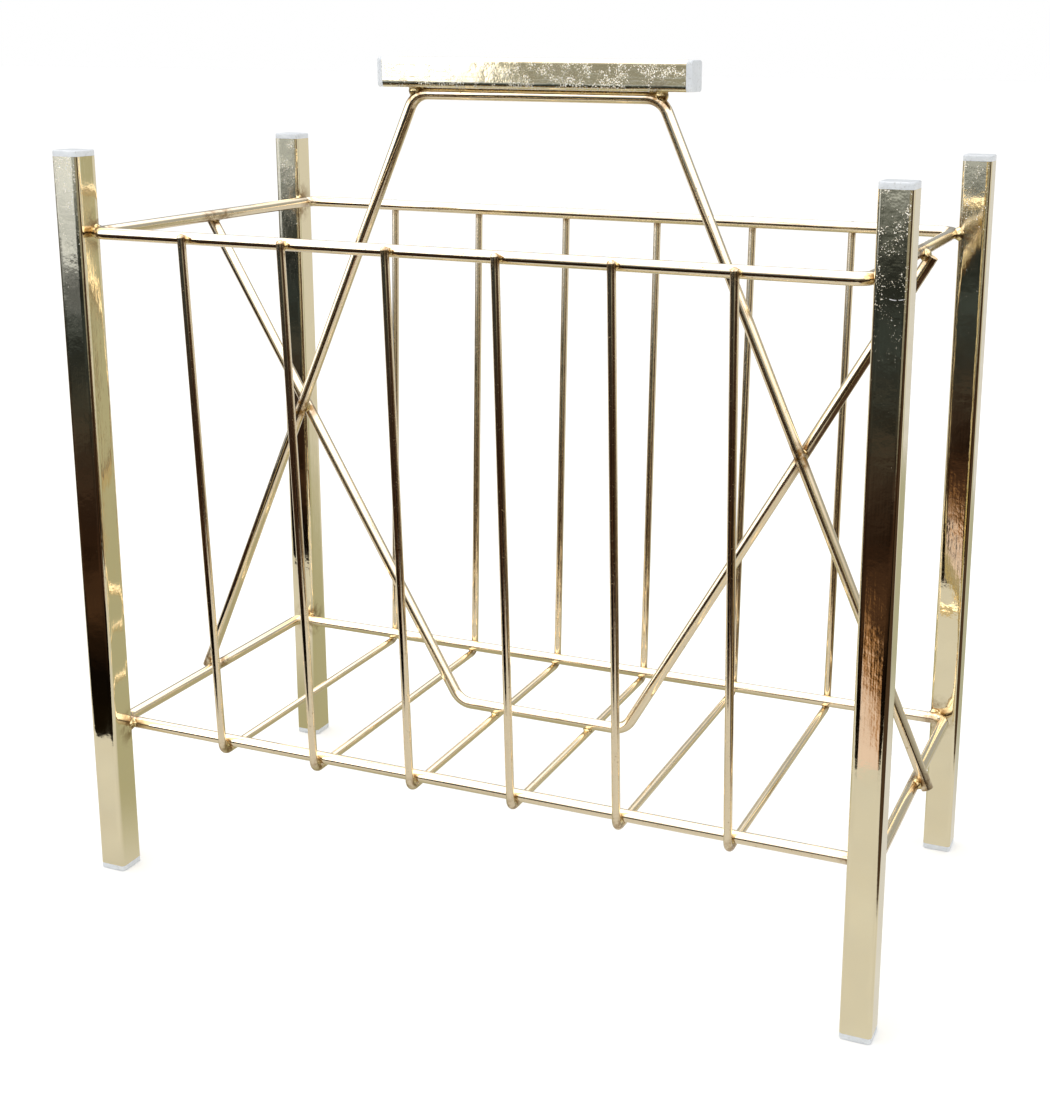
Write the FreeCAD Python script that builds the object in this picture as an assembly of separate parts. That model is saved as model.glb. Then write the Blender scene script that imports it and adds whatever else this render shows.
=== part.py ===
"""Magazine rack: four square tube legs, two wire rings, six U-shaped basket wires and a divider.

Millimetres, +Z up.  The origin is on the floor, in the middle of the rack.  -Y is the front,
+X is the right, and the handle runs along X above the middle.
"""
import FreeCAD, Part
from FreeCAD import Vector, Rotation, Placement
import math
import os

# ---- driving dimensions ------------------------------------------------------------------
frame_width = 450.0            # over the outside of the legs, along X
frame_depth = 222.0            # over the outside of the legs, along Y
leg_height = 408.0             # floor to the top of a leg's cap

tube_side = 15.875             # square tube of the legs and the handle, over its flats
tube_wall = 1.2
tube_corner = 2.0              # outside corner radius of the tube

cap_flange = 3.2               # thickness of the plastic cap that shows beyond a tube's end
cap_edge_round = 0.7
cap_stem_length = 11.0         # what stands inside the tube
cap_stem_wall = 1.6
cap_stem_clearance = 0.45      # between the stem and the tube's inner walls
cap_rib_clearance = 0.05       # between the stem's gripping ribs and the tube's inner walls
cap_rib_height = 1.0
cap_rib_count = 3

rail_diameter = 6.35           # round wire of the rings, the handle wire and the divider
wire_diameter = 4.3            # round wire of the basket
contact_gap = 0.2              # left between welded pieces, which the weld beads fill

bottom_ring_height = 84.8      # axis of the lower ring above the floor
top_ring_drop = 42.7           # axis of the upper ring below the top of the legs
ring_overhang = 1.4            # how far a ring's free sides run outside the legs' centre lines
ring_bend = 7.0                # bend radius of the rings' corners, on the wire's axis

basket_wire_count = 6
basket_wire_rise = 2.7         # the basket wires' domed ends above the upper ring's axis
basket_end_round = 1.6         # rounding of those ends

handle_rise = 32.6             # bottom face of the handle tube above the top of the legs
handle_overhang = 15.6         # how far the handle's tube runs past the handle wire's shoulders
handle_wire_shoulder = 71.2    # half width of the handle wire where its top run meets its arms
handle_wire_bend = 12.0
handle_wire_tail = 4.0         # length of an arm below the point where it meets the lower ring

divider_foot = 52.2            # half width of the divider wire where its bottom run meets its arms
divider_bend = 12.0
divider_tail = 1.5             # length of an arm above the point where it meets the upper ring

corner_weld = 4.8              # radius of the weld bead between a ring's corner and a leg
handle_weld = 4.6              # radius of the bead between the handle wire's bend and the handle
wire_weld = 4.2                # radius of the beads where one rail wire crosses another
slat_weld = 3.4                # radius of the beads between the divider and the basket wires
basket_weld = 3.0              # radius of the beads between the basket wires and the rings

# ---- sizes that follow from them ---------------------------------------------------------
rail_radius = rail_diameter / 2
wire_radius = wire_diameter / 2
leg_x = (frame_width - tube_side) / 2
leg_y = (frame_depth - tube_side) / 2
rail_seat = rail_radius + contact_gap
rail_to_rail = rail_diameter + contact_gap
wire_to_rail = wire_radius + rail_radius + contact_gap
rail_contact = rail_radius + contact_gap / 2

top_ring_height = leg_height - top_ring_drop
top_ring_x = leg_x - tube_side / 2 - rail_seat
top_ring_y = leg_y + ring_overhang
bottom_ring_x = leg_x + ring_overhang
bottom_ring_y = leg_y - tube_side / 2 - rail_seat

slat_height = bottom_ring_height - wire_to_rail
basket_pitch = 2 * top_ring_x / (basket_wire_count + 1)
basket_wire_top = top_ring_height + basket_wire_rise
handle_underside = leg_height + handle_rise
handle_length = 2 * (handle_wire_shoulder + handle_overhang)
handle_wire_height = handle_underside - rail_seat
divider_height = slat_height + wire_to_rail
divider_y = rail_to_rail

X = Vector(1, 0, 0)
Y = Vector(0, 1, 0)
Z = Vector(0, 0, 1)


# ---- shapes ------------------------------------------------------------------------------
def square_prism(side, corner, start, length):
    """A square bar along +Z with rounded edges, centred on the Z axis."""
    bar = Part.makeBox(side, side, length, Vector(-side / 2, -side / 2, start))
    edges = [e for e in bar.Edges if abs(e.tangentAt(e.FirstParameter).z) > 0.99]
    return bar.makeFillet(corner, edges)


def tube_bore(length):
    """What is bored out of a square bar to make it a tube, from below its start to past its end."""
    inner_side = tube_side - 2 * tube_wall
    inner_corner = tube_corner - tube_wall
    return square_prism(inner_side, inner_corner, -1, length + 2)


def tube_cap():
    """A plastic end cap: its flange stands on z = 0 and its hollow stem hangs below."""
    flange = square_prism(tube_side, tube_corner, 0, cap_flange)
    rim = [e for e in flange.Edges if e.BoundBox.ZMin > cap_flange - 0.001]
    flange = flange.makeFillet(cap_edge_round, rim)
    inner_side = tube_side - 2 * tube_wall
    inner_corner = tube_corner - tube_wall
    stem_side = inner_side - 2 * cap_stem_clearance
    rib_side = inner_side - 2 * cap_rib_clearance
    stem = square_prism(stem_side, inner_corner, -cap_stem_length, cap_stem_length)
    for number in range(cap_rib_count):
        height = -cap_stem_length * (number + 1) / (cap_rib_count + 1)
        stem = stem.fuse(square_prism(rib_side, inner_corner, height, cap_rib_height))
    hollow_side = stem_side - 2 * cap_stem_wall
    hollow = square_prism(hollow_side, inner_corner / 2, -cap_stem_length - 1, cap_stem_length + 1)
    return flange.fuse(stem).cut(hollow).removeSplitter()


def bent_path(points, bend, closed=False):
    """A wire through the points, with an arc of the bend radius at each corner."""
    count = len(points)
    corners = range(count) if closed else range(1, count - 1)
    arcs = {}
    for number in corners:
        corner = points[number]
        back = (points[number - 1] - corner).normalize()
        ahead = (points[(number + 1) % count] - corner).normalize()
        half_angle = back.getAngle(ahead) / 2
        setback = bend / math.tan(half_angle)
        middle = (back + ahead).normalize() * (bend / math.sin(half_angle) - bend)
        arcs[number] = (corner + back * setback, corner + middle, corner + ahead * setback)
    edges = []
    for number in range(count if closed else count - 1):
        following = (number + 1) % count
        start = arcs[number][2] if number in arcs else points[number]
        end = arcs[following][0] if following in arcs else points[following]
        edges.append(Part.LineSegment(start, end).toShape())
        if following in arcs:
            edges.append(Part.Arc(*arcs[following]).toShape())
    return Part.Wire(edges)


def round_wire(path, diameter):
    """A round wire along an open path."""
    start = path.OrderedEdges[0]
    direction = start.tangentAt(start.FirstParameter)
    section = Part.Wire(Part.makeCircle(diameter / 2, path.OrderedVertexes[0].Point, direction))
    return path.makePipeShell([section], True, False)


def wire_ring(half_x, half_y, height):
    """A closed rectangular ring of rail wire, bent at its corners, around the Z axis."""
    half = [Vector(0, -half_y, height), Vector(half_x, -half_y, height),
            Vector(half_x, half_y, height), Vector(0, half_y, height)]
    right = round_wire(bent_path(half, ring_bend), rail_diameter)
    left = right.mirror(Vector(0, 0, 0), X)
    return right.fuse(left).removeSplitter()


def tangent_point(start, centre, distance, side):
    """Where the line from start that passes the centre at that distance is nearest to it.

    Both points lie in one XZ plane, and side is +1 or -1: the way the line turns past the centre.
    """
    reach = centre - start
    run = math.sqrt(reach.Length ** 2 - distance ** 2)
    turn = math.degrees(math.asin(distance / reach.Length))
    direction = Rotation(Y, side * turn).multVec(reach).normalize()
    return start + direction * run, direction


def weld_bead(centre, radius, joined):
    """A round bead at a joint, cut to the pieces that it joins, and kept out of a tube's bore."""
    bead = Part.makeSphere(radius, centre)
    for name in joined:
        bead = bead.cut(bars.get(name, nodes[name]))
    return bead.Solids


# ---- pieces ------------------------------------------------------------------------------
nodes = {}
bars = {}                      # the square tubes' full outlines, without their bores


def add_tube(name, length, placement):
    """A length of square tube as a node, with its full outline kept for the weld beads."""
    bar = square_prism(tube_side, tube_corner, 0, length)
    tube = bar.cut(tube_bore(length))
    bar.Placement = placement
    tube.Placement = placement
    bars[name] = bar
    nodes[name] = tube


def side_name(x_sign, y_sign):
    return ("front" if y_sign < 0 else "rear") + "_" + ("left" if x_sign < 0 else "right")


# Legs: square tube with a cap on each end.
tube_length = leg_height - 2 * cap_flange
corners = [(x_sign, y_sign) for y_sign in (-1, 1) for x_sign in (-1, 1)]
for x_sign, y_sign in corners:
    name = side_name(x_sign, y_sign)
    foot = Vector(x_sign * leg_x, y_sign * leg_y, cap_flange)
    add_tube("leg_tube_" + name, tube_length, Placement(foot, Rotation()))
    top_cap = tube_cap()
    top_cap.translate(foot + Z * tube_length)
    nodes["top_cap_" + name] = top_cap
    foot_cap = tube_cap()
    foot_cap.Placement = Placement(foot, Rotation(X, 180))
    nodes["foot_cap_" + name] = foot_cap

# Handle: a length of the same tube along X, with the same caps.
handle_centre = handle_underside + tube_side / 2
handle_start = Vector(-handle_length / 2, 0, handle_centre)
add_tube("handle_tube", handle_length, Placement(handle_start, Rotation(Y, 90)))
for x_sign, name in ((-1, "left"), (1, "right")):
    cap = tube_cap()
    end = Vector(x_sign * handle_length / 2, 0, handle_centre)
    cap.Placement = Placement(end, Rotation(Y, x_sign * 90))
    nodes["handle_cap_" + name] = cap

# Rings: the upper one fits between the legs along X, the lower one fits between them along Y.
nodes["top_ring"] = wire_ring(top_ring_x, top_ring_y, top_ring_height)
nodes["bottom_ring"] = wire_ring(bottom_ring_x, bottom_ring_y, bottom_ring_height)


def basket_side(x, y_sign):
    """Where a basket wire's side passes the two rings' axes, its slope, and its way outward."""
    low = Vector(x, y_sign * bottom_ring_y, bottom_ring_height)
    high = Vector(x, y_sign * top_ring_y, top_ring_height)
    rise = (high - low).normalize()
    outward = Vector(0, rise.z * y_sign, -rise.y * y_sign)
    return low, high, rise, outward


def basket_wire(x):
    """A U-shaped wire: up the outside of both rings at the front and back, and under the lower."""
    ends = []
    for y_sign in (-1, 1):
        low, high, rise, outward = basket_side(x, y_sign)
        line = low + outward * wire_to_rail
        corner = line + rise * ((slat_height - line.z) / rise.z)
        tip = line + rise * ((basket_wire_top - line.z) / rise.z)
        ends.append((tip, corner))
    (front_tip, front_corner), (rear_tip, rear_corner) = ends
    path = bent_path([front_tip, front_corner, rear_corner, rear_tip], wire_to_rail)
    wire = round_wire(path, wire_diameter)
    rims = [e for e in wire.Edges if e.BoundBox.ZMin > basket_wire_top - wire_diameter and e.Closed]
    return wire.makeFillet(basket_end_round, rims)


basket_x = [(number - (basket_wire_count - 1) / 2) * basket_pitch for number in range(basket_wire_count)]
for number, x in enumerate(basket_x):
    nodes["basket_wire_" + str(number + 1)] = basket_wire(x)

# Handle wire: from the outside of the lower ring up to the handle, in the middle of the rack.
shoulder = Vector(handle_wire_shoulder, 0, handle_wire_height)
low_rail = Vector(bottom_ring_x, 0, bottom_ring_height)
handle_foot, arm_down = tangent_point(shoulder, low_rail, rail_to_rail, -1)
arm_end = handle_foot + arm_down * handle_wire_tail


def mirrored(point):
    return Vector(-point.x, point.y, point.z)


handle_points = [mirrored(arm_end), mirrored(shoulder), shoulder, arm_end]
nodes["handle_wire"] = round_wire(bent_path(handle_points, handle_wire_bend), rail_diameter)

# Divider wire: behind the handle wire, from the upper ring down to the basket's slats.
heel = Vector(divider_foot, divider_y, divider_height)
high_rail = Vector(top_ring_x, divider_y, top_ring_height)
divider_top, arm_up = tangent_point(heel, high_rail, rail_to_rail, 1)
divider_end = divider_top + arm_up * divider_tail
divider_points = [mirrored(divider_end), mirrored(heel), heel, divider_end]
nodes["divider_wire"] = round_wire(bent_path(divider_points, divider_bend), rail_diameter)

# Welds: beads at the joints, each cut to the pieces that it joins.
inner_x = leg_x - tube_side / 2
inner_y = leg_y - tube_side / 2
top_beads = []
bottom_beads = []
for x_sign, y_sign in corners:
    leg = "leg_tube_" + side_name(x_sign, y_sign)
    at_top = Vector(x_sign * inner_x, y_sign * (top_ring_y - ring_bend), top_ring_height)
    at_bottom = Vector(x_sign * (bottom_ring_x - ring_bend), y_sign * inner_y, bottom_ring_height)
    top_beads += weld_bead(at_top, corner_weld, [leg, "top_ring"])
    bottom_beads += weld_bead(at_bottom, corner_weld, [leg, "bottom_ring"])
nodes["top_ring_welds"] = Part.Compound(top_beads)
nodes["bottom_ring_welds"] = Part.Compound(bottom_beads)

arm_lean = arm_down.x / -arm_down.z
divider_lean = arm_up.x / arm_up.z
crossing_height = (handle_wire_shoulder + arm_lean * handle_wire_height - divider_foot
                   + divider_lean * divider_height) / (arm_lean + divider_lean)
crossing_x = divider_foot + divider_lean * (crossing_height - divider_height)
weld_places = {
    "handle_welds": (Vector(handle_wire_shoulder, 0, handle_underside), handle_weld,
                     ["handle_tube", "handle_wire"]),
    "divider_crossing_welds": (Vector(crossing_x, rail_to_rail / 2, crossing_height), wire_weld,
                               ["handle_wire", "divider_wire"]),
    "divider_top_welds": ((divider_top + high_rail) / 2, wire_weld, ["top_ring", "divider_wire"]),
    "handle_wire_foot_welds": ((handle_foot + low_rail) / 2, wire_weld,
                               ["bottom_ring", "handle_wire"]),
}
for name, (place, radius, joined) in weld_places.items():
    beads = weld_bead(mirrored(place), radius, joined) + weld_bead(place, radius, joined)
    nodes[name] = Part.Compound(beads)

slat_beads = []
for number, x in enumerate(basket_x):
    if abs(x) < divider_foot - divider_bend:
        slat = "basket_wire_" + str(number + 1)
        centre = Vector(x, divider_y, slat_height + wire_radius)
        slat_beads += weld_bead(centre, slat_weld, [slat, "divider_wire"])
nodes["divider_slat_welds"] = Part.Compound(slat_beads)

upper_beads = []
lower_beads = []
for number, x in enumerate(basket_x):
    wire = "basket_wire_" + str(number + 1)
    for y_sign in (-1, 1):
        low, high, rise, outward = basket_side(x, y_sign)
        on_top_ring = high + outward * rail_contact
        on_bottom_ring = low + (outward - Z).normalize() * rail_contact
        upper_beads += weld_bead(on_top_ring, basket_weld, [wire, "top_ring"])
        lower_beads += weld_bead(on_bottom_ring, basket_weld, [wire, "bottom_ring"])
nodes["basket_top_welds"] = Part.Compound(upper_beads)
nodes["basket_bottom_welds"] = Part.Compound(lower_beads)

# ---- output ------------------------------------------------------------------------------
os.makedirs("parts", exist_ok=True)
for name, shape in nodes.items():
    shape.exportStep("parts/" + name + ".step")
    print(name, len(shape.Solids), "solids,", round(shape.Volume, 1), "mm3, valid", shape.isValid())
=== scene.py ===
"""Looks for the magazine rack: bright brass plate on steel, milky plastic caps, pale studio."""

import bpy
import bmesh
import math
from mathutils import Matrix, Vector, noise
from mathutils.bvhtree import BVHTree


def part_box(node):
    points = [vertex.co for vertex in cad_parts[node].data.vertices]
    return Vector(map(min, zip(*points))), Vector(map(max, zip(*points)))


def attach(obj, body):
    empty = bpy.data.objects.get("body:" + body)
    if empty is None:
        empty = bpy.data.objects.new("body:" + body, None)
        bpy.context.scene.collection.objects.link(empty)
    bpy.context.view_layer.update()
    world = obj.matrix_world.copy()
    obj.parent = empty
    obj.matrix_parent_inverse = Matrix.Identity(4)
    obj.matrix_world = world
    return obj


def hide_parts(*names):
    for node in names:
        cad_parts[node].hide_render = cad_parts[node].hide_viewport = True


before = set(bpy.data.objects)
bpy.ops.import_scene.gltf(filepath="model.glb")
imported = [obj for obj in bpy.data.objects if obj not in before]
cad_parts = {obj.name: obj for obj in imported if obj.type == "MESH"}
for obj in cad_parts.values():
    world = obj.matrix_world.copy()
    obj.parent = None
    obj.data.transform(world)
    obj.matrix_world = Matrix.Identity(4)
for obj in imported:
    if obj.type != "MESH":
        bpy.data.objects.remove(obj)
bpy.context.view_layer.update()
MM = 0.001


def linear(code):
    """An sRGB hex colour as linear RGBA."""
    shares = [int(code[i:i + 2], 16) / 255 for i in (1, 3, 5)]
    return [s / 12.92 if s <= 0.04045 else ((s + 0.055) / 1.055) ** 2.4 for s in shares] + [1]


def add(tree, kind, inputs=None, **settings):
    """Adds a node. An input is a value, a socket, or a node whose first live output is meant."""
    made = tree.nodes.new("ShaderNode" + kind)
    for name, value in settings.items():
        setattr(made, name, value)
    for key, value in (inputs or {}).items():
        if isinstance(value, bpy.types.Node):
            value = next(out for out in value.outputs if out.enabled)
        if isinstance(value, bpy.types.NodeSocket):
            tree.links.new(value, made.inputs[key])
        else:
            made.inputs[key].default_value = value
    return made


SMOOTH = {"interpolation_type": "SMOOTHSTEP"}
COLOUR = {"data_type": "RGBA"}


def new_material(name):
    """A blank material: its tree, its shader and the position of the shaded point."""
    made = bpy.data.materials.new(name)
    made.use_nodes = True
    tree = made.node_tree
    tree.nodes.clear()
    shader = add(tree, "BsdfPrincipled")
    add(tree, "OutputMaterial", {"Surface": shader})
    return made, tree, shader, add(tree, "NewGeometry").outputs["Position"]


# ---- where the welds are, from the CAD beads ------------------------------------------------
def bead_places(node):
    """The centre and half width of each separate bead of a weld node."""
    shell = bmesh.new()
    shell.from_mesh(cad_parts[node].data)
    bmesh.ops.remove_doubles(shell, verts=shell.verts, dist=1e-6)
    left = set(shell.verts)
    found = []
    while left:
        queue = [left.pop()]
        member = set(queue)
        while queue:
            for edge in queue.pop().link_edges:
                for vert in edge.verts:
                    if vert not in member:
                        member.add(vert)
                        queue.append(vert)
        left -= member
        low = Vector([min(v.co[i] for v in member) for i in range(3)])
        high = Vector([max(v.co[i] for v in member) for i in range(3)])
        found.append(((low + high) / 2, max(high - low) / 2))
    shell.free()
    return sorted(found, key=lambda bead: tuple(round(c, 5) for c in bead[0]))


weld_nodes = [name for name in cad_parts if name.endswith("_welds")]
other_nodes = [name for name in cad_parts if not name.endswith("_welds")]
beads = {name: bead_places(name) for name in weld_nodes}


def heat_near(tree, place, names, reach_mm):
    """1 at a weld of those nodes, fading to 0 at the reach. Welds mirror, so each is met once."""
    same_place = 3 * MM
    full_heat = 2.5 * MM
    mirrored = add(tree, "VectorMath", {0: place}, operation="ABSOLUTE")
    places = []
    for name in names:
        for centre, size in beads[name]:
            at = Vector(map(abs, centre))
            if not any((at - other).length < same_place for other in places):
                places.append(at)
    nearest = None
    for at in places:
        gap = add(tree, "VectorMath", {0: mirrored, 1: at}, operation="DISTANCE")
        nearest = gap if nearest is None else add(tree, "Math", {0: nearest, 1: gap},
                                                  operation="MINIMUM")
    return add(tree, "MapRange", {0: nearest, 1: full_heat, 2: reach_mm * MM, 3: 1, 4: 0}, **SMOOTH)


# ---- materials ------------------------------------------------------------------------------
BRASS, BRASS_PALE, BURNT = "#F6E8C2", "#F1E6C6", "#8D6A38"


def rolled_off_edges(tree, place, box, across):
    """How far a square tube's flat face has begun to roll over towards its corners, 0 to 1.

    Drawn tube isn't dead flat: its faces ease down over the last 3.4 mm before each corner.
    """
    eased_over = 3.4 * MM
    mirrored = add(tree, "VectorMath", {0: place}, operation="ABSOLUTE")
    sides = add(tree, "SeparateXYZ", {0: mirrored})
    total = 0.0
    for axis in across:
        middle = abs(box[0][axis] + box[1][axis]) / 2
        half = (box[1][axis] - box[0][axis]) / 2
        off = add(tree, "Math", {0: sides.outputs[axis], 1: middle}, operation="SUBTRACT")
        off = add(tree, "Math", {0: off}, operation="ABSOLUTE")
        eased = add(tree, "MapRange", {0: off, 1: half - eased_over, 2: half}, **SMOOTH)
        total = add(tree, "Math", {0: total, 1: eased}, operation="ADD")
    return total


def arc_scratch(tree, place):
    """One bright curved scratch across the front face of the front right leg, with gaps in it.

    It is the lowest stretch of a ring, about 0.35 mm wide.
    """
    centre, radius = (0.2192, 0, 0.3690), 11.0 * MM
    low, high = 0.3584, 0.3592
    behind_the_face = -0.105
    x, y, z = add(tree, "SeparateXYZ", {0: place}).outputs
    flat = add(tree, "CombineXYZ", {0: x, 2: z})
    away = add(tree, "VectorMath", {0: flat, 1: centre}, operation="DISTANCE")
    away = add(tree, "Math", {0: away, 1: radius}, operation="SUBTRACT")
    away = add(tree, "Math", {0: away}, operation="ABSOLUTE")
    line = add(tree, "MapRange", {0: away, 1: 0.05 * MM, 2: 0.30 * MM, 3: 1, 4: 0}, **SMOOTH)
    below = add(tree, "MapRange", {0: z, 1: low, 2: high, 3: 1, 4: 0}, **SMOOTH)
    front = add(tree, "Math", {0: y, 1: behind_the_face}, operation="LESS_THAN")
    line = add(tree, "Math", {0: line, 1: below}, operation="MULTIPLY")
    gaps = add(tree, "TexNoise", {"Vector": place, "Scale": 1 / (2.2 * MM), "Detail": 2})
    gaps = add(tree, "MapRange", {0: gaps, 1: 0.42, 2: 0.52}, **SMOOTH)
    line = add(tree, "Math", {0: line, 1: gaps}, operation="MULTIPLY")
    return add(tree, "Math", {0: line, 1: front}, operation="MULTIPLY")


def plated_tube(name, node, along, worn, flecked, welded):
    """Bright brass plate on drawn square tube: a thin electroplated layer over polished steel.

    It mirrors the room with long shallow waves, shows faint polishing lines along the tube, is
    peppered with pale flecks where the plate has worn to the nickel under it, and is browned by
    heat at the welds.
    """
    made, tree, shader, place = new_material(name)
    stretch = [1, 1, 1]
    stretch[along] = 0.03
    drawn = add(tree, "VectorMath", {0: place, 1: stretch}, operation="MULTIPLY")
    # Polishing lines are finer than 0.1 mm; they are drawn about 1 mm apart so that they show.
    lines = add(tree, "TexNoise", {"Vector": drawn, "Scale": 1 / (1.1 * MM), "Detail": 3})
    cloud = add(tree, "TexNoise", {"Vector": place, "Scale": 1 / (16 * MM), "Detail": 4,
                                   "Roughness": 0.6})
    # Flecks are a few tenths of a millimetre; their pattern is drawn at 0.8 mm so that they show.
    speck = add(tree, "TexNoise", {"Vector": place, "Scale": 1 / (0.8 * MM), "Detail": 4,
                                   "Roughness": 0.68})
    patch = add(tree, "TexNoise", {"Vector": place, "Scale": 1 / (8 * MM), "Detail": 4,
                                   "Roughness": 0.65})
    rolled = rolled_off_edges(tree, place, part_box(node), [a for a in range(3) if a != along])
    level = add(tree, "SeparateXYZ", {0: place}).outputs[2]
    wear = add(tree, "MapRange", {0: level, 1: worn[0], 2: worn[1]}, **SMOOTH)
    patch = add(tree, "MapRange", {0: patch, 1: 0.40, 2: 0.58, 3: 0.25, 4: 1}, **SMOOTH)
    # The faces that look along X were handled less, and stay nearly clean.
    facing = add(tree, "SeparateXYZ", {0: add(tree, "NewGeometry").outputs["True Normal"]})
    facing = add(tree, "Math", {0: facing.outputs[0]}, operation="ABSOLUTE")
    clean = add(tree, "MapRange", {0: facing, 1: 0.3, 2: 0.8, 3: 1, 4: 0.1}, **SMOOTH)
    wear = add(tree, "Math", {0: wear, 1: clean}, operation="MULTIPLY")
    thick = add(tree, "Math", {0: patch, 1: wear}, operation="MULTIPLY")
    edge = add(tree, "MapRange", {0: thick, 1: 0, 2: 1, 3: 0.74, 4: flecked})
    edge_end = add(tree, "Math", {0: edge, 1: 0.06}, operation="ADD")
    fleck = add(tree, "MapRange", {0: speck, 1: edge, 2: edge_end}, **SMOOTH)
    heat = heat_near(tree, place, welded, 15)
    uneven = add(tree, "TexNoise", {"Vector": place, "Scale": 1 / (4 * MM), "Detail": 4})
    uneven = add(tree, "MapRange", {0: uneven, 1: 0.35, 2: 0.62, 3: 0.1, 4: 0.9}, **SMOOTH)
    stain = add(tree, "Math", {0: heat, 1: uneven}, operation="MULTIPLY")
    tint = add(tree, "Mix", {0: cloud, 6: linear(BRASS), 7: linear(BRASS_PALE)}, **COLOUR)
    tint = add(tree, "Mix", {0: stain, 6: tint, 7: linear(BURNT)}, **COLOUR)
    tint = add(tree, "Mix", {0: fleck, 6: tint, 7: linear("#F4F3EA")}, **COLOUR)
    dull = add(tree, "MapRange", {0: cloud, 1: 0.3, 2: 0.7, 3: 0.03, 4: 0.08}, **SMOOTH)
    dull = add(tree, "Math", {0: stain, 1: 0.15, 2: dull}, operation="MULTIPLY_ADD")
    dull = add(tree, "Math", {0: fleck, 1: 0.45, 2: dull}, operation="MULTIPLY_ADD")
    dull = add(tree, "Math", {0: wear, 1: 0.02, 2: dull}, operation="MULTIPLY_ADD")
    wave = add(tree, "Bump", {"Height": cloud, "Strength": 0.20, "Distance": 0.5 * MM})
    wave = add(tree, "Bump", {"Height": lines, "Strength": 0.22, "Distance": 0.06 * MM,
                              "Normal": wave})
    wave = add(tree, "Bump", {"Height": rolled, "Strength": 1.0, "Distance": 0.16 * MM,
                              "Normal": wave}, invert=True)
    hole = add(tree, "Bump", {"Height": fleck, "Strength": 0.6, "Distance": 0.12 * MM,
                              "Normal": wave}, invert=True)
    # Only the legs, which stand along Z, carry the scratch.
    if along == 2:
        scratch = arc_scratch(tree, place)
        tint = add(tree, "Mix", {0: scratch, 6: tint, 7: linear("#FFFFFF")}, **COLOUR)
        dull = add(tree, "Math", {0: scratch, 1: 0.5, 2: dull}, operation="MULTIPLY_ADD")
    tree.links.new(tint.outputs[2], shader.inputs["Base Color"])
    tree.links.new(dull.outputs[0], shader.inputs["Roughness"])
    tree.links.new(hole.outputs[0], shader.inputs["Normal"])
    shader.inputs["Metallic"].default_value = 1.0
    return made


def plated_wire(name, welded, reach_mm):
    """Bright brass plate on drawn round wire: smoother than the tube, with a few dull specks.

    The wire keeps faint cross ripples from its drawing die, and the plate is browned by heat
    for a few millimetres each side of a weld.
    """
    made, tree, shader, place = new_material(name)
    cloud = add(tree, "TexNoise", {"Vector": place, "Scale": 1 / (9 * MM), "Detail": 4,
                                   "Roughness": 0.6})
    speck = add(tree, "TexNoise", {"Vector": place, "Scale": 1 / (1.1 * MM), "Detail": 3})
    speck = add(tree, "MapRange", {0: speck, 1: 0.66, 2: 0.72}, **SMOOTH)
    heat = heat_near(tree, place, welded, reach_mm)
    uneven = add(tree, "TexNoise", {"Vector": place, "Scale": 1 / (3 * MM), "Detail": 4})
    uneven = add(tree, "MapRange", {0: uneven, 1: 0.35, 2: 0.6, 3: 0.25, 4: 1}, **SMOOTH)
    stain = add(tree, "Math", {0: heat, 1: uneven}, operation="MULTIPLY")
    tint = add(tree, "Mix", {0: cloud, 6: linear("#F4E3C2"), 7: linear("#EEDDBD")}, **COLOUR)
    tint = add(tree, "Mix", {0: stain, 6: tint, 7: linear(BURNT)}, **COLOUR)
    tint = add(tree, "Mix", {0: speck, 6: tint, 7: linear("#B79A6C")}, **COLOUR)
    dull = add(tree, "MapRange", {0: cloud, 1: 0.3, 2: 0.7, 3: 0.07, 4: 0.15}, **SMOOTH)
    dull = add(tree, "Math", {0: stain, 1: 0.16, 2: dull}, operation="MULTIPLY_ADD")
    dull = add(tree, "Math", {0: speck, 1: 0.25, 2: dull}, operation="MULTIPLY_ADD")
    ripple = add(tree, "Bump", {"Height": cloud, "Strength": 0.12, "Distance": 0.2 * MM})
    tree.links.new(tint.outputs[2], shader.inputs["Base Color"])
    tree.links.new(dull.outputs[0], shader.inputs["Roughness"])
    tree.links.new(ripple.outputs[0], shader.inputs["Normal"])
    shader.inputs["Metallic"].default_value = 1.0
    return made


def browned_weld():
    """Weld metal under brass plate: lumpy, in random patches of brown and bright."""
    made, tree, shader, place = new_material("browned_weld_metal")
    scorch = add(tree, "TexNoise", {"Vector": place, "Scale": 1 / (2.4 * MM), "Detail": 5,
                                    "Roughness": 0.6})
    share = add(tree, "MapRange", {0: scorch, 1: 0.36, 2: 0.58}, **SMOOTH)
    tint = add(tree, "Mix", {0: share, 6: linear("#7A5A2C"), 7: linear("#E6D09A")}, **COLOUR)
    dull = add(tree, "MapRange", {0: scorch, 1: 0.3, 2: 0.7, 3: 0.30, 4: 0.12}, **SMOOTH)
    lump = add(tree, "TexNoise", {"Vector": place, "Scale": 1 / (0.9 * MM), "Detail": 3})
    lump = add(tree, "Bump", {"Height": lump, "Strength": 0.30, "Distance": 0.15 * MM})
    tree.links.new(tint.outputs[2], shader.inputs["Base Color"])
    tree.links.new(dull.outputs[0], shader.inputs["Roughness"])
    tree.links.new(lump.outputs[0], shader.inputs["Normal"])
    shader.inputs["Metallic"].default_value = 1.0
    return made


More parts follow.
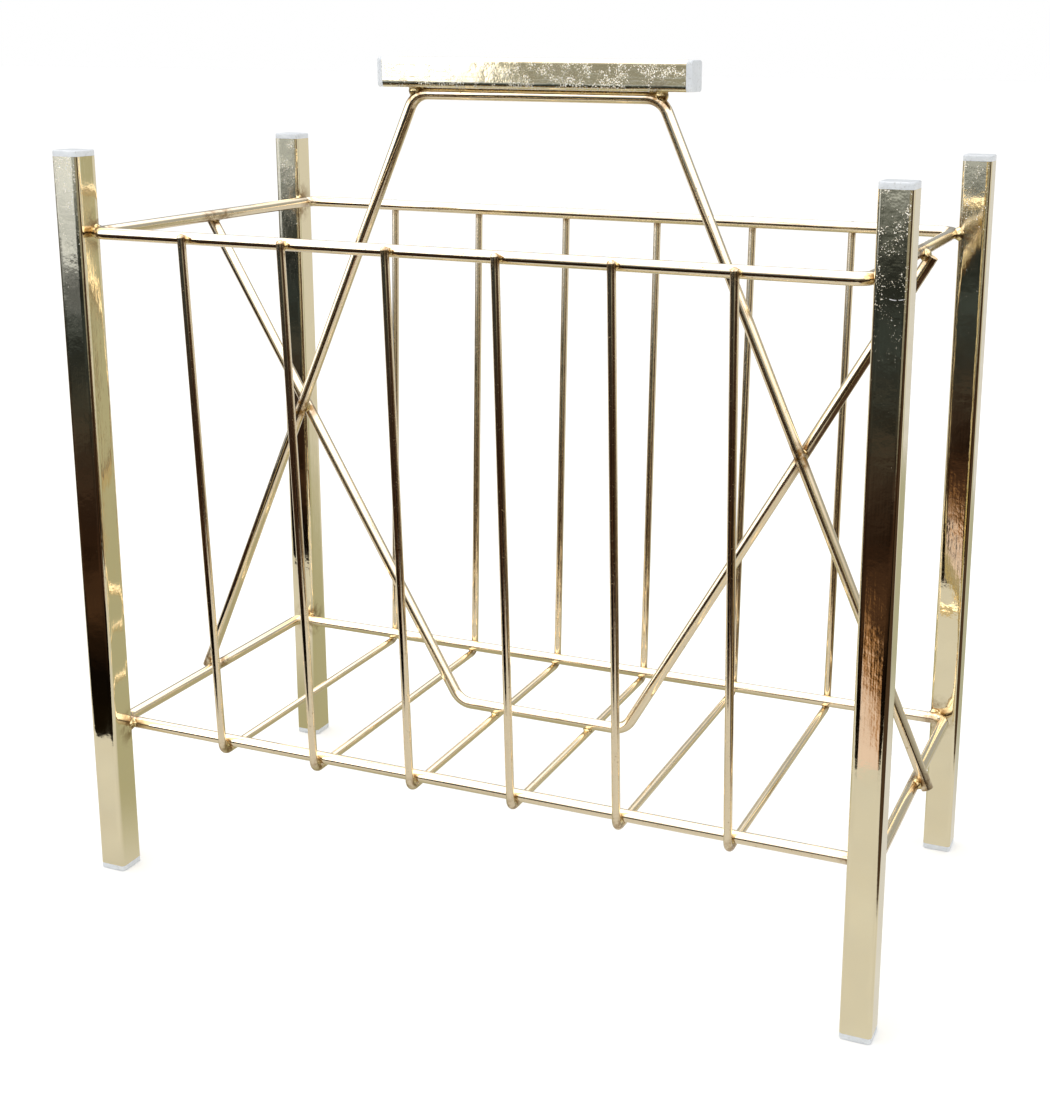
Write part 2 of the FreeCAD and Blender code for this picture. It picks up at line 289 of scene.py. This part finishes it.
def milky_polythene():
    """Milky polythene: injection moulded, so soft in gloss, cloudy, and scuffed by handling."""
    made, tree, shader, place = new_material("milky_polythene")
    cloud = add(tree, "TexNoise", {"Vector": place, "Scale": 1 / (5 * MM), "Detail": 3})
    scuff = add(tree, "TexNoise", {"Vector": place, "Scale": 1 / (1.4 * MM), "Detail": 5,
                                   "Roughness": 0.7})
    scuff = add(tree, "MapRange", {0: scuff, 1: 0.54, 2: 0.70, 3: 0, 4: 0.45}, **SMOOTH)
    tint = add(tree, "Mix", {0: cloud, 6: linear("#C3C7CB"), 7: linear("#DADDDF")}, **COLOUR)
    tint = add(tree, "Mix", {0: scuff, 6: tint, 7: linear("#8F8B84")}, **COLOUR)
    dull = add(tree, "MapRange", {0: scuff, 1: 0, 2: 0.45, 3: 0.30, 4: 0.55}, **SMOOTH)
    skin = add(tree, "TexNoise", {"Vector": place, "Scale": 1 / (0.8 * MM), "Detail": 3})
    skin = add(tree, "Bump", {"Height": skin, "Strength": 0.12, "Distance": 0.05 * MM})
    tree.links.new(tint.outputs[2], shader.inputs["Base Color"])
    tree.links.new(dull.outputs[0], shader.inputs["Roughness"])
    tree.links.new(skin.outputs[0], shader.inputs["Normal"])
    shader.inputs["IOR"].default_value = 1.51
    shader.inputs["Subsurface Weight"].default_value = 0.3
    shader.inputs["Subsurface Radius"].default_value = (1.0, 1.0, 1.0)
    shader.inputs["Subsurface Scale"].default_value = 1.5 * MM
    return made


leg_plate = plated_tube("bright_brass_plate_on_legs", "leg_tube_front_right", 2, (0.27, 0.41),
                        0.565, ["top_ring_welds", "bottom_ring_welds"])
handle_plate = plated_tube("bright_brass_plate_on_handle", "handle_tube", 0, (0.0, 0.1),
                           0.535, ["handle_welds"])
wire_plate = plated_wire("bright_brass_plate_on_wire",
                         ["top_ring_welds", "bottom_ring_welds", "divider_crossing_welds",
                          "divider_top_welds", "handle_wire_foot_welds", "handle_welds"], 13)
slim_plate = plated_wire("bright_brass_plate_on_slim_wire",
                         ["basket_top_welds", "basket_bottom_welds"], 8)
weld_skin = browned_weld()
cap_plastic = milky_polythene()


def finish_of(name):
    """The material of a CAD node, and the record's slot that it belongs to."""
    if "cap" in name:
        return cap_plastic, "cap_plastic"
    if name.startswith("basket_wire"):
        return slim_plate, "wire_brass"
    if name == "handle_tube":
        return handle_plate, "tube_brass"
    if "tube" in name:
        return leg_plate, "tube_brass"
    return wire_plate, "wire_brass"


for name in other_nodes:
    coat, slot = finish_of(name)
    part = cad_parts[name]
    part.data.materials.clear()
    part.data.materials.append(coat)


# ---- weld metal -----------------------------------------------------------------------------
def mesh_object(name, mesh):
    """A new object for a mesh, in the scene."""
    made = bpy.data.objects.new(name, mesh)
    bpy.context.scene.collection.objects.link(made)
    return made


def applied(obj):
    """The object with its modifiers applied."""
    seen = obj.evaluated_get(bpy.context.evaluated_depsgraph_get())
    mesh = bpy.data.meshes.new_from_object(seen)
    old = obj.data
    obj.modifiers.clear()
    obj.data = mesh
    bpy.data.meshes.remove(old)
    return obj


def closed_copy(node):
    """A node's mesh with its split corners joined, so that it can be cut."""
    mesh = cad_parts[node].data.copy()
    shell = bmesh.new()
    shell.from_mesh(mesh)
    bmesh.ops.remove_doubles(shell, verts=shell.verts, dist=1e-7)
    shell.to_mesh(mesh)
    shell.free()
    return mesh


graph = bpy.context.evaluated_depsgraph_get()
trees = {name: BVHTree.FromObject(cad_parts[name], graph) for name in other_nodes}
closed = {name: closed_copy(name) for name in other_nodes}


def stub(node, centre, radius):
    """The part of a node inside a ball round the joint."""
    mesh = bpy.data.meshes.new("ball")
    shell = bmesh.new()
    bmesh.ops.create_icosphere(shell, subdivisions=3, radius=radius)
    bmesh.ops.translate(shell, verts=shell.verts, vec=centre)
    shell.to_mesh(mesh)
    shell.free()
    ball = mesh_object("ball", mesh)
    piece = mesh_object("stub", closed[node].copy())
    cut = piece.modifiers.new("cut", "BOOLEAN")
    cut.operation = "INTERSECT"
    cut.object = ball
    cut.solver = "MANIFOLD"
    applied(piece)
    bpy.data.objects.remove(ball)
    return piece


# Shares of a bead's half width: the ball of added metal, and how much of the joint is taken in.
CORE, REACH = 0.80, 1.55
# In millimetres: the height of the lumps, their width, and how far the skin then sinks back.
LUMP_HEIGHT, LUMP_WIDTH, SUNK = 0.34, 1.6, 0.14


def fillet(centre, radius):
    """Weld metal that has flowed into a joint: the joint's own shapes, softened together."""
    shell = bmesh.new()
    bmesh.ops.create_icosphere(shell, subdivisions=3, radius=radius * CORE)
    bmesh.ops.translate(shell, verts=shell.verts, vec=centre)
    for name in other_nodes:
        if (trees[name].find_nearest(centre)[3] or 1) < radius:
            piece = stub(name, centre, radius * REACH)
            shell.from_mesh(piece.data)
            bpy.data.objects.remove(piece)
    mesh = bpy.data.meshes.new("fillet")
    shell.to_mesh(mesh)
    shell.free()
    made = mesh_object("fillet", mesh)
    knit = made.modifiers.new("knit", "REMESH")
    knit.mode = "VOXEL"
    knit.voxel_size = 0.35 * MM
    soften = made.modifiers.new("soften", "SMOOTH")
    soften.factor = 0.6
    soften.iterations = 9
    applied(made)
    for vert in made.data.vertices:
        away = (vert.co - centre).length / radius
        lump = noise.noise(vert.co / (LUMP_WIDTH * MM)) * max(0.0, 1.25 - away)
        vert.co += vert.normal * (LUMP_HEIGHT * lump - SUNK) * MM
    return made


def weld_metal(node):
    """All the weld metal of one CAD weld node, as one piece that stands for it."""
    whole = bmesh.new()
    for centre, radius in beads[node]:
        made = fillet(centre, radius)
        whole.from_mesh(made.data)
        bpy.data.objects.remove(made)
    mesh = bpy.data.meshes.new(node + "_metal")
    whole.to_mesh(mesh)
    whole.free()
    for face in mesh.polygons:
        face.use_smooth = True
    mesh.materials.append(weld_skin)
    made = mesh_object(node + "_metal", mesh)
    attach(made, "root")
    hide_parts(node)


for name in weld_nodes:
    weld_metal(name)


# ---- studio ---------------------------------------------------------------------------------
# How far the floor reaches each way, and how far the two cards reach to the sides and the front.
FAR, ROOM = 30.0, 16.0
# The pale board's front edge, which the polished legs mirror: y = EDGE_AT + EDGE_SLOPE * x.
EDGE_AT, EDGE_SLOPE = -0.365, -0.3097


def flat_card(name, corners, coat):
    """A flat sheet at floor level that isn't part of the rack."""
    mesh = bpy.data.meshes.new(name)
    mesh.from_pydata([(x, y, 0) for x, y in corners], [], [range(len(corners))])
    mesh.materials.append(coat)
    made = mesh_object(name, mesh)
    return made


def only_in_reflections(card):
    """Hides a card from everything but mirrored light."""
    card.visible_camera = card.visible_diffuse = card.visible_shadow = False
    card.visible_transmission = False


def matt_board():
    """Matt painted board: the pale floor."""
    made, tree, shader, place = new_material("matt_pale_board")
    cloud = add(tree, "TexNoise", {"Vector": place, "Scale": 1 / (120 * MM), "Detail": 3})
    tint = add(tree, "Mix", {0: cloud, 6: linear("#F8F8F7"), 7: linear("#FBFBFA")}, **COLOUR)
    tree.links.new(tint.outputs[2], shader.inputs["Base Color"])
    shader.inputs["Roughness"].default_value = 0.9
    return made


def glowing(name):
    """A blank material that glows: its tree, its glow, and the point's position, x and y."""
    made = bpy.data.materials.new(name)
    made.use_nodes = True
    tree = made.node_tree
    tree.nodes.clear()
    glow = add(tree, "Emission", {"Strength": 1.0})
    add(tree, "OutputMaterial", {"Surface": glow})
    place = add(tree, "NewGeometry").outputs["Position"]
    parts = add(tree, "SeparateXYZ", {0: place}).outputs
    return made, tree, glow, place, parts[0], parts[1]


def glowing_board_reflection():
    """Painted reflection of the pale board, a glowing card: soft grey, a painted shadow band, a
    dark right end.
    """
    made, tree, glow, place, x, y = glowing("glowing_board_reflection")
    cloud = add(tree, "TexNoise", {"Vector": place, "Scale": 1 / (90 * MM), "Detail": 4})
    tint = add(tree, "Mix", {0: cloud, 6: linear("#CFCCC8"), 7: linear("#EAEAE8")}, **COLOUR)
    # Painted shadow of the rack: the shaded band runs back and to the right, and fades out 0.24 m
    # each side of its line.
    run = add(tree, "VectorMath", {0: place, 1: (0.64, 0.77, 0)}, operation="DOT_PRODUCT")
    side = add(tree, "VectorMath", {0: place, 1: (0.77, -0.64, 0)}, operation="DOT_PRODUCT")
    side = add(tree, "Math", {0: side, 1: 0.135}, operation="ADD")
    side = add(tree, "Math", {0: side}, operation="ABSOLUTE")
    shade = add(tree, "MapRange", {0: side, 1: 0.12, 2: 0.24, 3: 1, 4: 0}, **SMOOTH)
    start = add(tree, "MapRange", {0: run, 1: -0.26, 2: -0.10}, **SMOOTH)
    shade = add(tree, "Math", {0: shade, 1: start}, operation="MULTIPLY")
    tint = add(tree, "Mix", {0: shade, 6: tint, 7: linear("#B4B39B")}, **COLOUR)
    # Painted dark reflection: the card's right end glows dark brown, fading out towards the back.
    right = add(tree, "MapRange", {0: x, 1: 0.33, 2: 0.37}, **SMOOTH)
    front = add(tree, "MapRange", {0: y, 1: 0.25, 2: 0.45, 3: 1, 4: 0}, **SMOOTH)
    right = add(tree, "Math", {0: right, 1: front}, operation="MULTIPLY")
    tint = add(tree, "Mix", {0: right, 6: tint, 7: linear("#4A3A2E")}, **COLOUR)
    # Painted light: the card glows with these tones instead of being lit.
    tree.links.new(tint.outputs[2], glow.inputs["Color"])
    return made


def glowing_room_reflection():
    """Painted reflection of the room before the board, a glowing card: dark floor, paling into the
    distance.
    """
    made, tree, glow, place, x, y = glowing("glowing_room_reflection")
    # Away is the distance in front of the board's edge; the tones run out to this depth.
    depth = 6.0
    size = math.hypot(1, EDGE_SLOPE)
    away = add(tree, "VectorMath", {0: place, 1: (EDGE_SLOPE / size, -1 / size, 0)},
               operation="DOT_PRODUCT")
    away = add(tree, "Math", {0: away, 1: EDGE_AT / size}, operation="ADD")
    share = add(tree, "Math", {0: away, 1: depth}, operation="DIVIDE")
    ramp = add(tree, "ValToRGB", {"Fac": share})
    tones = ((0.0, "#140E06"), (0.02, "#0A0705"), (0.045, "#3A281C"), (0.08, "#2E1F17"),
             (0.11, "#382C25"), (0.16, "#302E2A"), (0.27, "#333A3C"), (0.36, "#1E2120"),
             (0.50, "#363A3A"), (0.66, "#666C70"), (0.92, "#A8B0BC"))
    while len(ramp.color_ramp.elements) < len(tones):
        ramp.color_ramp.elements.new(1.0)
    for element, (position, code) in zip(ramp.color_ramp.elements, tones):
        element.position = position
        element.color = linear(code)
    # Slant is the direction of a point as seen from half a metre behind the rack's middle.
    deep = add(tree, "Math", {0: 0.5, 1: y}, operation="SUBTRACT")
    slant = add(tree, "Math", {0: x, 1: deep}, operation="DIVIDE")
    # Painted window light: far off to the left the card glows as a room lit by the window; on the
    # right, further out, it is paler.
    left = add(tree, "MapRange", {0: slant, 1: -0.655, 2: -0.70}, **SMOOTH)
    distant = add(tree, "MapRange", {0: away, 1: 1.3, 2: 3.6}, **SMOOTH)
    left = add(tree, "Math", {0: left, 1: distant}, operation="MULTIPLY")
    tint = add(tree, "Mix", {0: left, 6: ramp, 7: linear("#D3DCF0")}, **COLOUR)
    right = add(tree, "MapRange", {0: slant, 1: 0.10, 2: 0.25}, **SMOOTH)
    beyond = add(tree, "MapRange", {0: away, 1: 0.5, 2: 0.9}, **SMOOTH)
    right = add(tree, "Math", {0: right, 1: beyond}, operation="MULTIPLY")
    tint = add(tree, "Mix", {0: right, 6: tint, 7: linear("#8E8B80")}, **COLOUR)
    # Painted reflection: a strip of warm wood against the board's edge, cut on a slant, glowing
    # pale pink to copper.
    offset = add(tree, "Math", {0: away, 1: 0.21, 2: x}, operation="MULTIPLY_ADD")
    offset = add(tree, "Math", {0: offset, 1: 0.155}, operation="SUBTRACT")
    slanted = add(tree, "Math", {0: offset, 1: 9.0, 2: away}, operation="MULTIPLY_ADD")
    wood = add(tree, "MapRange", {0: slanted, 1: 0.12, 2: 0.27, 3: 1, 4: 0}, **SMOOTH)
    end = add(tree, "MapRange", {0: offset, 1: -0.022, 2: -0.014}, **SMOOTH)
    wood = add(tree, "Math", {0: wood, 1: end}, operation="MULTIPLY")
    warm = add(tree, "MapRange", {0: slanted, 1: 0.04, 2: 0.17}, **SMOOTH)
    warm = add(tree, "Mix", {0: warm, 6: linear("#F0DAD6"), 7: linear("#C08C5C")}, **COLOUR)
    tint = add(tree, "Mix", {0: wood, 6: tint, 7: warm}, **COLOUR)
    # Painted light: the glow is patchy in strength, and steady on the wood strip.
    cloud = add(tree, "TexNoise", {"Vector": place, "Scale": 2.6, "Detail": 6, "Roughness": 0.7})
    patchy = add(tree, "MapRange", {0: cloud, 1: 0.36, 2: 0.64, 3: 0.25, 4: 2.0})
    steady = add(tree, "Mix", {0: wood, 2: patchy, 3: 1.0})
    tree.links.new(tint.outputs[2], glow.inputs["Color"])
    tree.links.new(steady.outputs[0], glow.inputs["Strength"])
    return made


floor = flat_card("floor", [(-FAR, -FAR), (FAR, -FAR), (FAR, FAR), (-FAR, FAR)], matt_board())
floor.visible_glossy = False
room_left = (-ROOM, EDGE_AT - EDGE_SLOPE * ROOM)
room_right = (ROOM, EDGE_AT + EDGE_SLOPE * ROOM)
only_in_reflections(flat_card("glowing_board_in_reflections", [room_left, room_right, (ROOM, FAR),
                                                       (-ROOM, FAR)], glowing_board_reflection()))
only_in_reflections(flat_card("glowing_room_in_reflections", [(-ROOM, -ROOM), (ROOM, -ROOM), room_right,
                                                      room_left], glowing_room_reflection()))


def surroundings():
    """A pale studio to the eye, and a room with a window at the left for the plate to mirror."""
    world = bpy.data.worlds.new("studio")
    bpy.context.scene.world = world
    world.use_nodes = True
    tree = world.node_tree
    tree.nodes.clear()
    x, y, z = add(tree, "SeparateXYZ", {0: add(tree, "TexCoord").outputs["Generated"]}).outputs
    ahead = add(tree, "Math", {0: y, 1: -1.0}, operation="MULTIPLY")
    turn = add(tree, "Math", {0: x, 1: ahead}, operation="ARCTAN2")
    rise = add(tree, "MapRange", {0: z, 1: 0.03, 2: 0.30}, **SMOOTH)
    front = add(tree, "Mix", {0: rise, 6: linear("#96968F"), 7: linear("#F4F1EC")}, **COLOUR)
    behind = add(tree, "MapRange", {0: y, 1: -0.10, 2: 0.40}, **SMOOTH)
    whole = add(tree, "Mix", {0: behind, 6: front, 7: linear("#B0B4B5")}, **COLOUR)
    height = add(tree, "Math", {0: y, 1: -0.2, 2: z}, operation="MULTIPLY_ADD")
    overhead = add(tree, "MapRange", {0: height, 1: 0.25, 2: 0.50}, **SMOOTH)
    whole = add(tree, "Mix", {0: overhead, 6: whole, 7: (2.1, 2.1, 2.3, 1)}, **COLOUR)
    # The window: from 26 degrees left of the way that the rack's front faces, round to its side.
    pane = add(tree, "MapRange", {0: turn, 1: -0.450, 2: -0.462}, **SMOOTH)
    end = add(tree, "MapRange", {0: turn, 1: -1.6, 2: -1.4}, **SMOOTH)
    sill = add(tree, "MapRange", {0: z, 1: -0.05, 2: -0.025}, **SMOOTH)
    pane = add(tree, "Math", {0: pane, 1: end}, operation="MULTIPLY")
    pane = add(tree, "Math", {0: pane, 1: sill}, operation="MULTIPLY")
    whole = add(tree, "Mix", {0: pane, 6: whole, 7: (2.6, 2.6, 2.7, 1)}, **COLOUR)
    ray = add(tree, "LightPath")
    mirrored = add(tree, "Background", {"Color": whole, "Strength": 1.0})
    ambient = add(tree, "Background", {"Color": (1, 1, 1, 1), "Strength": 1.12})
    seen = add(tree, "Background", {"Color": (1, 1, 1, 1), "Strength": 1.0})
    plain = add(tree, "MixShader", {0: ray.outputs["Is Camera Ray"], 1: ambient, 2: seen})
    pick = add(tree, "MixShader", {0: ray.outputs["Is Glossy Ray"], 1: plain, 2: mirrored})
    add(tree, "OutputWorld", {"Surface": pick})


surroundings()


def softbox(name, place, aim, size, watts):
    """A rectangular lamp aimed at a point."""
    lamp = bpy.data.lights.new(name, "AREA")
    lamp.shape = "RECTANGLE"
    lamp.size, lamp.size_y = size
    lamp.energy = watts
    made = bpy.data.objects.new(name, lamp)
    made.location = place
    made.rotation_euler = (Vector(aim) - Vector(place)).to_track_quat("-Z", "Y").to_euler()
    bpy.context.scene.collection.objects.link(made)


softbox("overhead_softbox", (-0.5, -0.2, 2.2), (0, 0, 0.2), (1.8, 1.4), 12)


def camera():
    """The camera: in front and to the right, turned 21.5 degrees left and 13.3 degrees down."""
    turn, tilt, roll = 0.375678, 0.232961, 0.009515
    ahead = Vector((-math.sin(turn) * math.cos(tilt),
                    math.cos(turn) * math.cos(tilt),
                    -math.sin(tilt)))
    level = Vector((math.cos(turn), math.sin(turn), 0))
    upright = level.cross(ahead)
    right = level * math.cos(roll) + upright * math.sin(roll)
    up = upright * math.cos(roll) - level * math.sin(roll)
    data = bpy.data.cameras.new("camera")
    data.sensor_width = 36.0
    data.lens = 52.484
    data.shift_x = -0.08397
    data.shift_y = -0.10609
    made = bpy.data.objects.new("camera", data)
    made.matrix_world = Matrix((right, up, -ahead)).transposed().to_4x4()
    made.location = (0.358408, -0.785735, 0.459636)
    bpy.context.scene.collection.objects.link(made)
    bpy.context.scene.camera = made


camera()
bpy.context.scene.view_settings.view_transform = "Standard"
